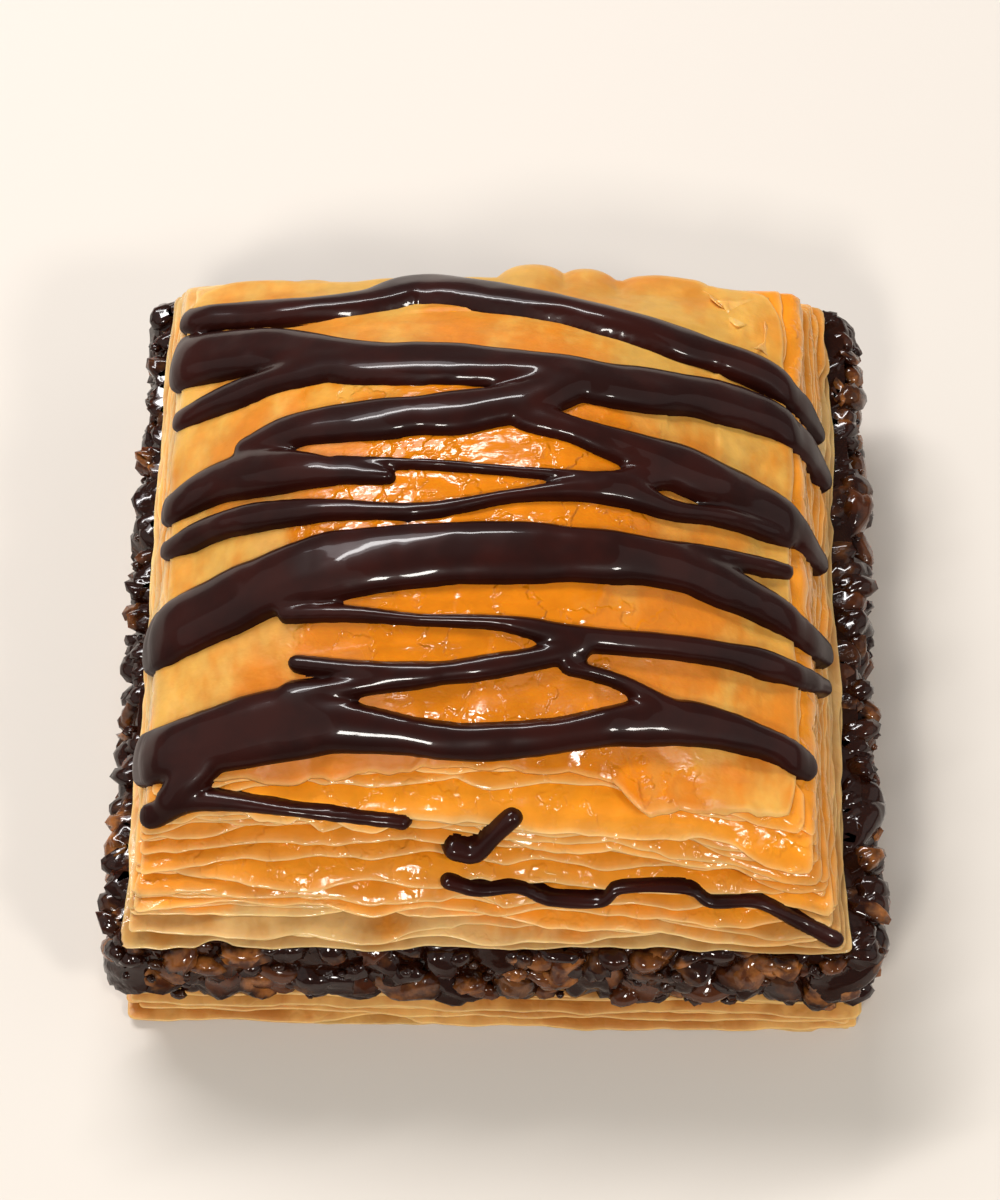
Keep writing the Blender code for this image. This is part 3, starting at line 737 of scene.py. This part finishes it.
def crown_relief(x, y):
    """Height added to the crown by the oven and the syrup: broad swells, soft creases across it, folds near
    the left side and pleats near the right, fine crinkles, small blisters in the middle, and one thin
    step where an upper leaf has torn along a line of equal hills."""
    swells = layered(x, y, (0.34, 15, 201), (0.12, 6, 230))
    creases = 0.14 * (1 - np.abs(hills(x, 3.0 * y, 12, 202))) ** 4
    pleats = 0.3 * (1 - np.abs(hills(3.2 * x, y, 13, 203))) ** 4 * rise(x, 17, 27)
    folds = 0.5 * hills(x + 0.8 * y, 0.3 * (y - x), 5, 231) * rise(-x, 14, 27)
    crinkles = 0.05 * hills(x, 1.5 * y, 2.4, 204) + 0.02 * hills(x, y, 1.1, 205)
    middle = rise(1.05 - np.hypot(x / 23, (y + 4) / 24), 0, 0.5)
    blisters = 0.2 * np.clip(layered(x, y, (1, 3.4, 232), (0.4, 1.5, 233)) - 0.2, 0, 1) * middle
    step = 0.17 * rise(hills(x, 1.4 * y, 17, 206) + 0.15 * hills(x, y, 3, 207), 0.1, 0.14)
    return swells + creases + pleats + folds + crinkles + blisters + step


def scallops(x):
    """Half circles pulled to the given half widths and heights along the back edge, the highest of them."""
    arches = []
    for middle, half, height in BACK_SCALLOPS:
        arches.append(height * np.sqrt(np.clip(1 - ((x - middle) / half) ** 2, 0, 1)))
    return np.max(arches, axis=0)


def crown_lattice():
    """The crown as a lattice over the pillow: places from -1 to 1 both ways, spread to the crown's half
    sizes, with rounded corners and waves in its edges that fade inwards."""
    a, b = unit_square(CROWN_PLACES)
    x = a * (CROWN_WIDE - CORNER_PULL * np.abs(b) ** 14)
    y = b * (np.where(b < 0, CROWN_FRONT, CROWN_LONG) - CORNER_PULL * np.abs(a) ** 14)
    side_waves = waves(y, (0.45, 8, 211), (0.25, 2.7, 212)) - 0.6 * (a > 0)
    back_waves = waves(x, (0.35, 3, 213)) + 0.5 * scallops(x)
    front_waves = waves(x, (0.8, 9, 215)) + 0.9 * (np.abs(waves(x, (1, 4.5, 216))) - 0.4)
    front_waves += waves(x, (0.2, 1, 217)) + TEAR_DROP * rise(x, TEAR_AT - 5, TEAR_AT)
    front_waves += TEAR_TIP * np.clip(1 - np.abs(x - TEAR_AT) / 2.6, 0, 1)
    height = pillow(x, y) + crown_relief(x, y) + 0.2 + (scallops(x) - 0.4) * rise(b, 0.86, 1)
    front_lift, side_lift = waves(x, (0.4, 4.5, 218)), waves(y, (0.3, 6, 219))
    height += front_lift * rise(-b, 0.88, 1) + side_lift * rise(np.abs(a), 0.9, 1)
    x = x + np.sign(a) * np.abs(a) ** 9 * side_waves
    y = y + np.abs(b) ** 9 * np.where(b < 0, -front_waves, back_waves)
    edge = rise(np.maximum(np.abs(a), np.abs(b)), 0.985, 1)
    return np.stack([x, y, height], axis=-1), edge


def crown_leaf(top, edge):
    """The crown's slab, one leaf thick, with masks for its syrup, glaze and rim."""
    x, y = top[..., 0], top[..., 1]
    points, faces, used = lattice_slab(top, top - (0, 0, LEAF_THICK))
    away = np.hypot(x / CROWN_WIDE, (y + 4) / CROWN_LONG * np.where(y > -4, 0.95, 0.7))
    soak = 1.12 - rise(away, 0.35, 1.05) + 0.2 * hills(x, y, 9, 221) + 0.35 * rise(-y, 12, 23)
    glaze = rise(1.02 - away + 0.3 * hills(x, y, 8, 222), 0.15, 0.65)
    values = {"soak": soak, "rim": 0.6 * edge, "tone": 0.6 + 0.3 * hills(x, y, 11, 223), "glaze": glaze}
    return points, faces, {key: np.tile(value.reshape(-1), 2)[used] for key, value in values.items()}


def flake(x, y, size, turn):
    """A torn scrap of leaf that lies loose on the crown: a square sheet with waves in its edges, turned,
    rolled up a little along one side, and laid on the pillow."""
    s, t = unit_square(13)
    s_out = s * (1 + waves(9 * t + 40 * turn, (0.35, 5, 261)))
    t_out = t * (0.62 + waves(9 * s - 40 * turn, (0.3, 5, 262)))
    across = size * (s_out * math.cos(turn) - t_out * math.sin(turn))
    along = size * (s_out * math.sin(turn) + t_out * math.cos(turn))
    height = pillow(x + across, y + along) + 0.75 + size * (0.3 * (t_out + 0.4) ** 2 + 0.1 * s_out * t_out)
    top = np.stack([x + across, y + along, height], axis=-1)
    points, faces, used = lattice_slab(top, top - (0, 0, FLAKE_THICK))
    plain = np.full(len(used), 0.4)
    return points, faces, {"soak": plain, "rim": plain, "tone": plain + 0.4, "glaze": plain}


crown_pastry = pastry_material(
    "glazed_crown", ((0.67, 0.355, 0.067), (0.65, 0.27, 0.03), (0.62, 0.178, 0.003), (0.9, 0.57, 0.21)),
    bump=0.00034, dry=0.5, wet=0.1, shine=0.4,
)
crown_top, crown_edge = crown_lattice()
beneath = read_map(soften(leaf_map, 2), crown_top[..., 0], crown_top[..., 1])
crown_top[..., 2] = np.maximum(crown_top[..., 2], beneath + 0.1 + LEAF_THICK)
leaf_map = add_to_map(leaf_map, crown_top, (2, 2))
crown = new_piece("crown_leaf", [crown_leaf(crown_top, crown_edge)], "top_leaves", crown_pastry, CROWN_ASIDE)
scraps = [flake(*place) for place in FLAKES]
flakes = new_piece("loose_flakes", scraps, "top_leaves", crown_pastry, CROWN_ASIDE)


# Chocolate drizzle: dark chocolate melted with a little butter, flicked across the crown from a spoon.
# The strokes set as round beads, run together where they cross, and hang down over the side leaves.
# Each is read on a level plane at the crown's top, looking down from SIGHT, as (across, up, width).

SIGHT = Vector((4.6, -159.4, 299.0))
STROKES = {
    "back_arch": (
        (-27.5, 17.6, 2.6), (-17, 18.8, 2.9), (-11, 19.8, 3.4), (-6, 21.3, 5.0), (1, 20.4, 4.4),
        (9, 18.6, 3.7), (18, 15.7, 3.7), (25.5, 12.4, 3.6), (29, 9.4, 2.8), (30.6, 6.4, 2.0),
    ),
    "second_arch": (
        (-27.5, 13, 5.4), (-20, 14.2, 4.6), (-11, 13, 4.6), (-3, 13, 4.5), (5, 12.4, 4.6),
        (12, 11, 4.8), (20, 9.8, 4.0), (26, 7.8, 3.6), (29.4, 5, 3.0), (31, 1.6, 2.2),
    ),
    "left_fork": ((-27.8, 6.6, 1.9), (-23, 9.2, 2.6), (-17.5, 11.6, 2.8), (-13, 12.6, 2.6)),
    "third_arch": (
        (-21.3, 3.4, 2.4), (-16.5, 5.8, 3.4), (-9, 7, 4.0), (-1, 8, 4.4), (4, 9.2, 4.2),
        (8, 11, 3.6),
    ),
    "third_tail": (
        (4, 7.6, 3.2), (9, 5.8, 3.0), (14, 3.8, 3.8), (19, 1.6, 4.4), (24, -0.8, 3.8),
        (28, -3.6, 3.2), (30.5, -7.4, 2.0),
    ),
    "left_blob": ((-28, -3, 2.8), (-23, 0.2, 3.8), (-17.5, 1.2, 4.2), (-12.5, 1.2, 2.6), (-8.4, 0.8, 1.4)),
    "fine_line": ((-13, 2.4, 1.2), (-4, 2.1, 1.1), (4, 1.5, 1.1), (11, 0.9, 1.4)),
    "middle_line": (
        (-28, -7.2, 1.8), (-22, -4.2, 2.6), (-14, -2.8, 2.4), (-5, -2.7, 1.8), (3, -1, 1.6),
        (11.5, -0.2, 3.2), (17, -2.2, 2.0), (22, -3, 1.8), (27.5, -5, 1.6),
    ),
    "middle_branch": ((11.5, 0.4, 2.6), (17, 1.4, 2.6), (22, 0.6, 2.4)),
    "wide_band": (
        (-28.4, -16.6, 5.0), (-23.5, -13.4, 5.8), (-16, -9.4, 6.6), (-8, -7.6, 6.4), (0, -6.9, 6.6),
        (9, -7, 6.0), (16, -7.8, 5.0), (22, -10.2, 3.6), (27, -13.2, 3.2), (30.6, -16.6, 2.2),
    ),
    "wide_band_branch": ((12, -5.8, 2.0), (20, -6.8, 1.8), (27.4, -8.4, 1.6)),
    "fork_line": (
        (-17, -13.6, 1.8), (-11.5, -13.4, 1.7), (-5, -13.9, 1.4), (2, -14.1, 1.8), (9, -15.5, 2.6),
        (17, -16.2, 2.7), (23, -17.2, 2.6), (28, -18.8, 2.4), (30.6, -20, 1.6),
    ),
    "lower_line": (
        (-15.8, -18.5, 2.0), (-10, -19, 2.0), (-4, -19.3, 2.6), (3, -18.1, 2.7), (9, -16.6, 2.6),
    ),
    "front_band": (
        (-28.7, -28.2, 4.2), (-24, -26.6, 6.2), (-16, -24.4, 7.0), (-9, -25, 5.0), (-1, -26, 3.8),
        (6, -25.4, 4.0), (13, -24, 4.6), (19, -23.8, 4.4), (25, -25.6, 3.2), (28.6, -27.6, 2.4),
    ),
    "front_upper": ((-16, -21.8, 3.0), (-9, -20.4, 2.4), (-4, -19.6, 2.0)),
    "front_link": ((8, -18.4, 1.8), (12.5, -19.8, 1.8), (16.5, -22.4, 2.6)),
    "left_tail": ((-27.6, -33.6, 2.6), (-23.4, -32, 2.2), (-15, -32.8, 1.4), (-6, -33.8, 1.5)),
    "left_tail_root": ((-23.5, -28.5, 3.6), (-26, -32, 3.0)),
    "dab": ((-1.5, -36.3, 1.8), (0.2, -36.5, 1.9), (1.7, -34.9, 1.7), (3.3, -33.2, 1.9)),
    "squiggle": (
        (-2, -39.3, 1.6), (0.5, -39.9, 1.4), (4, -39.7, 1.1), (6.6, -40.7, 1.3), (10.9, -40.8, 1.3),
        (12.6, -39.6, 1.2), (18.2, -39.6, 0.9), (20.2, -40.7, 1.2), (24, -40.7, 1.1), (27.3, -42.3, 1.3),
        (30.6, -44, 1.8),
    ),
}
BEAD_STEP = 0.4
CREST_BASE = 0.5
CREST_SHARE = 0.19
TALLEST_CREST = 1.55
MESH_STEP = 0.25
SKIRT = 2.6
SUNK = 3.4
MELT = 0.25


def leaf_surface(x, y):
    """Smooth height of the leaves' outside: the crown, and past its edges a straight fall to the foot."""
    ways = zip((-x, x, -y, y), CROWN_REACH, FOOT_REACH)
    past = np.max([(way - crown) / (foot - crown) for way, crown, foot in ways], axis=0)
    top = pillow(np.clip(x, -CROWN_WIDE, CROWN_WIDE), np.clip(y, -CROWN_FRONT, CROWN_LONG))
    return top + (TOP_FOOT - top) * np.clip(past, 0, 1)


def on_leaves(across, up, heights):
    """Where the line of sight through points of the level plane at the crown's top meets the leaves: the
    height is guessed, and each guess moves half of the way to the height of the map under it."""
    height = np.full_like(across, CROWN_TOP)
    for _ in range(30):
        share = (SIGHT.z - height) / (SIGHT.z - CROWN_TOP)
        x, y = SIGHT.x + (across - SIGHT.x) * share, SIGHT.y + (up - SIGHT.y) * share
        height = (height + read_map(heights, x, y)) / 2
    return np.stack([x, y, height], axis=-1)


def smooth_path(points, step):
    """Points about a step apart on a Catmull-Rom curve through the given ones."""
    points = np.array(points, float)
    padded = np.vstack([2 * points[0] - points[1], points, 2 * points[-1] - points[-2]])
    path = []
    for before, start, end, after in zip(padded, padded[1:], padded[2:], padded[3:]):
        t = np.linspace(0, 1, max(2, int(np.hypot(*(end - start)[:2]) / step)), endpoint=False)[:, None]
        curve = 2 * start + (end - before) * t + (2 * before - 5 * start + 4 * end - after) * t**2
        path.append(0.5 * (curve + (3 * start - 3 * end + after - before) * t**3))
    return np.vstack([*path, points[-1:]])


def widened(values, times):
    """Each value raised to the highest of the eight round it, as often as asked."""
    for _ in range(times):
        padded = np.pad(values, 1, mode="edge")
        padded = np.maximum(np.maximum(padded[:-2], padded[1:-1]), padded[2:])
        values = np.maximum(np.maximum(padded[:, :-2], padded[:, 1:-1]), padded[:, 2:])
    return values


def bridged(heights):
    """The map as thick chocolate meets it: never far below the leaves' smooth outside, and softened again
    and again over their gaps and edges, each time from no lower than the leaves themselves."""
    ticks = np.linspace(-MAP_HALF, MAP_HALF, len(heights))
    heights = np.maximum(heights, leaf_surface(*np.meshgrid(ticks, ticks, indexing="ij")) - 0.6)
    smooth = heights
    for times in (60, 30, 12):
        smooth = soften(np.maximum(smooth, heights), times)
    return soften(widened(np.maximum(smooth, heights), 1), 6)


def unfold(way, low, high, low_foot, high_foot):
    """Place in plan at a way along the leaves: as far as the way between the crown's edges, and past them
    only the level share of a slope that falls to the foot."""
    fall = EDGE_TOP - TOP_FOOT
    past_low, past_high = np.maximum(low - way, 0), np.maximum(way - high, 0)
    low_share, high_share = (run / math.hypot(run, fall) for run in (low_foot, high_foot))
    return np.clip(way, low, high) - past_low * low_share + past_high * high_share


def stroke_on_leaves(heights, points, seed):
    """A stroke's path on the leaves, and its half width and crest at each of the path's places.

    The stroke's two edges are laid on the leaves apart, which gives its true width where they slope. The
    crest grows with the width up to a limit, and sinks where the stroke hangs over a side.
    """
    across, up, width = smooth_path(points, BEAD_STEP).T
    along_x, along_y = np.gradient(across), np.gradient(up)
    length = np.hypot(along_x, along_y)
    off_x, off_y = -along_y / length * width / 2, along_x / length * width / 2
    sides = [on_leaves(across + way * off_x, up + way * off_y, heights) for way in (1, -1)]
    true_width = np.clip(np.linalg.norm(sides[0] - sides[1], axis=-1), 0.6 * width, 1.2 * width)
    path = on_leaves(across, up, heights)
    half = true_width / 2 * (1 + 0.12 * hills(path[:, 0], path[:, 1], 3.5, seed))
    crest = np.minimum(CREST_BASE + CREST_SHARE * true_width, TALLEST_CREST)
    crest = crest * (1 + 0.12 * hills(path[:, 0], path[:, 1], 6, seed + 1))
    crest = crest * (1 - 0.65 * rise(np.abs(path[:, 0]), CROWN_WIDE - 3, CROWN_WIDE + 0.5))
    return path, half, crest


def bead_height(ground, path, half, crest):
    """Thickness of one stroke over the ground, below nothing outside it: on each short run of its path,
    the distance to the run gives a blunt round section, with a shallow furrow along the widest strokes."""
    thickness = np.full(ground.shape[:2], -9.0)
    for start in range(len(path) - 1):
        low, high = np.minimum(path[start], path[start + 1]) - 5, np.maximum(path[start], path[start + 1]) + 5
        rows = slice(*np.searchsorted(ground[:, 0, 0], (low[0], high[0])))
        columns = slice(*np.searchsorted(ground[0, :, 1], (low[1], high[1])))
        run = path[start + 1] - path[start]
        offset = ground[rows, columns] - path[start]
        t = np.clip(offset @ run / max(run @ run, 1e-6), 0, 1)
        away = np.linalg.norm(offset - t[..., None] * run, axis=-1)
        half_here = half[start] + (half[start + 1] - half[start]) * t
        crest_here = crest[start] + (crest[start + 1] - crest[start]) * t
        furrow = 1 - 0.14 * np.exp(-((away / 0.8) ** 2)) * rise(half_here, 2.4, 3.2)
        bead = crest_here * np.clip(1 - (away / half_here) ** 2.2, 0, None) ** 0.55 * furrow
        bead = np.where(away < half_here, bead, -7 * (away - half_here))
        thickness[rows, columns] = np.maximum(thickness[rows, columns], bead)
    return thickness


def straight_out(surface):
    """Directions of length one that stand straight out of a lattice's surface."""
    normal = np.cross(np.gradient(surface, axis=0), np.gradient(surface, axis=1))
    return normal / np.linalg.norm(normal, axis=-1, keepdims=True)


def drizzle_ground(heights):
    """A lattice in the way along the leaves, unfolded down their sides, and the ground under it."""
    runs = [foot - crown for foot, crown in zip(FOOT_REACH, CROWN_REACH)]
    left, right, front, back = (math.hypot(run, EDGE_TOP - TOP_FOOT) for run in runs)
    across = np.arange(-CROWN_WIDE - left, CROWN_WIDE + right, MESH_STEP)
    along = np.arange(-CROWN_FRONT - front, CROWN_LONG + back, MESH_STEP)
    s, t = np.meshgrid(across, along, indexing="ij")
    x, y = unfold(s, -CROWN_WIDE, CROWN_WIDE, *runs[:2]), unfold(t, -CROWN_FRONT, CROWN_LONG, *runs[2:])
    return s, t, np.stack([x, y, read_map(heights, x, y)], axis=-1)


def drizzle(heights):
    """All strokes over one lattice that unfolds down the sides, their thicknesses melted together by a
    smooth maximum, laid out from the leaves along their normals, and closed below by a sunken foot. A mask
    says where it is wet, which is where it faces up."""
    s, t, ground = drizzle_ground(heights)
    normal = np.stack([soften(axis, 6) for axis in np.moveaxis(straight_out(ground), -1, 0)], axis=-1)
    normal /= np.linalg.norm(normal, axis=-1, keepdims=True)
    total = np.zeros(s.shape)
    for number, points in enumerate(STROKES.values()):
        bead = bead_height(ground, *stroke_on_leaves(heights, points, 500 + 10 * number))
        total += np.exp(np.clip(bead, -5, None) / MELT)
    thickness = soften(MELT * np.log(total), 1) + 0.05 * hills(s, t, 5, 590)
    keep = thickness > -SKIRT
    keep = keep[:-1, :-1] & keep[1:, :-1] & keep[:-1, 1:] & keep[1:, 1:]
    top = ground + normal * (0.1 + thickness)[..., None]
    top[..., 2] = np.maximum(top[..., 2], TOP_FOOT + 0.1)
    foot = ground - normal * SUNK
    foot[..., 2] = np.maximum(foot[..., 2], TOP_FOOT)
    points, faces, used = lattice_slab(top, foot, keep)
    wet = rise(straight_out(top)[..., 2], 0.35, 0.85)
    return points, faces, {"wet": np.tile(wet.reshape(-1), 2)[used]}


def chocolate_material():
    """Dark chocolate, set but still moist: nearly black brown with a soft sheen, and a clear gloss over it
    where it is wet."""
    material, tree, shader = new_material("dark_chocolate")
    where = place_on(tree)
    clouds = noise(tree, where, 160, 3)
    light, dark = (0.025, 0.0046, 0.003, 1), (0.014, 0.0027, 0.0018, 1)
    fill(tree, shader, {
        "Base Color": blend(tree, between(tree, clouds, 0.35, 0.65), light, dark),
        "Normal": bumped(tree, noise(tree, where, 330, 2), 0.00012, 0.35),
        "Roughness": between(tree, clouds, 0.3, 0.7, 0.28, 0.38),
        "Specular IOR Level": 0.07,
        "Coat Weight": between(tree, attribute(tree, "wet"), 0, 1, 0.05, 0.38),
        "Coat Roughness": 0.06,
    })
    return material


strokes = drizzle(bridged(leaf_map))
chocolate = new_piece("chocolate_drizzle", [strokes], "top_leaves", chocolate_material(), CROWN_ASIDE)


# Floor, lights and camera: a plain pale floor, a narrow strip and a soft panel of light behind the piece,
# a large soft panel at each side, two small lamps in front and at the right for the glints, and the
# photograph's angle. Lights are given by place, size, power and colour.

FLOOR_HALF = 2.0
AIM = (0, 0, 0.03)
LIGHTS = {
    "key_behind": ((-0.2, 0.39, 0.6), (0.6, 0.06), 4.1, (1, 0.98, 0.97)),
    "soft_left": ((-0.75, -0.15, 0.6), (1.2, 0.9), 1.3, (1, 0.97, 0.93)),
    "soft_right": ((0.75, -0.1, 0.6), (1.2, 0.9), 1.5, (1, 0.97, 0.93)),
    "soft_behind": ((-0.3, 0.42, 0.62), (0.45, 0.25), 1.8, (1, 0.96, 0.98)),
    "small_front": ((-0.15, -0.48, 0.52), (0.1, 0.1), 2.2, (1, 0.96, 0.9)),
    "small_right": ((0.34, -0.36, 0.5), (0.08, 0.08), 1.3, (1, 0.96, 0.9)),
}
LENS = 101
SENSOR_WIDE = 36
CAMERA_AIM = Vector((0.0, -0.0015, 0.022))


def floor():
    """A square of plain matt floor under the piece."""
    edge = FLOOR_HALF
    corners = [(-edge, -edge, 0), (edge, -edge, 0), (edge, edge, 0), (-edge, edge, 0)]
    mesh = bpy.data.meshes.new("floor")
    mesh.from_pydata(corners, [], [(0, 1, 2, 3)])
    material, tree, shader = new_material("pale_floor")
    fill(tree, shader, {"Base Color": (0.63, 0.585, 0.53, 1), "Roughness": 0.75})
    mesh.materials.append(material)
    ground = bpy.data.objects.new("floor", mesh)
    bpy.context.scene.collection.objects.link(ground)


def turned_to(name, data, place, target):
    """A light or a camera at a place, turned to face the target."""
    thing = bpy.data.objects.new(name, data)
    thing.location = place
    thing.rotation_euler = (Vector(target) - Vector(place)).to_track_quat("-Z", "Y").to_euler()
    bpy.context.scene.collection.objects.link(thing)
    return thing


def studio():
    """A faint even glow from all round, and the rectangular lights, turned to the piece."""
    world = bpy.data.worlds.new("studio")
    world.use_nodes = True
    glow = world.node_tree.nodes["Background"]
    fill(world.node_tree, glow, {"Color": (0.95, 0.97, 1.0, 1), "Strength": 0.18})
    bpy.context.scene.world = world
    bpy.context.scene.view_settings.view_transform = "Standard"
    for name, (place, size, power, colour) in LIGHTS.items():
        light = bpy.data.lights.new(name, "AREA")
        light.shape = "RECTANGLE"
        light.size, light.size_y = size
        light.energy = power
        light.color = colour
        turned_to(name, light, place, AIM)


def camera():
    """The camera where the photograph was taken from, which is where the strokes are read from."""
    data = bpy.data.cameras.new("camera")
    data.lens = LENS
    data.sensor_width = SENSOR_WIDE
    data.clip_start = 0.01
    eye = (SIGHT + Vector((CROWN_ASIDE, 0, 0))) * MM
    bpy.context.scene.camera = turned_to("camera", data, eye, CAMERA_AIM)


floor()
studio()
camera()
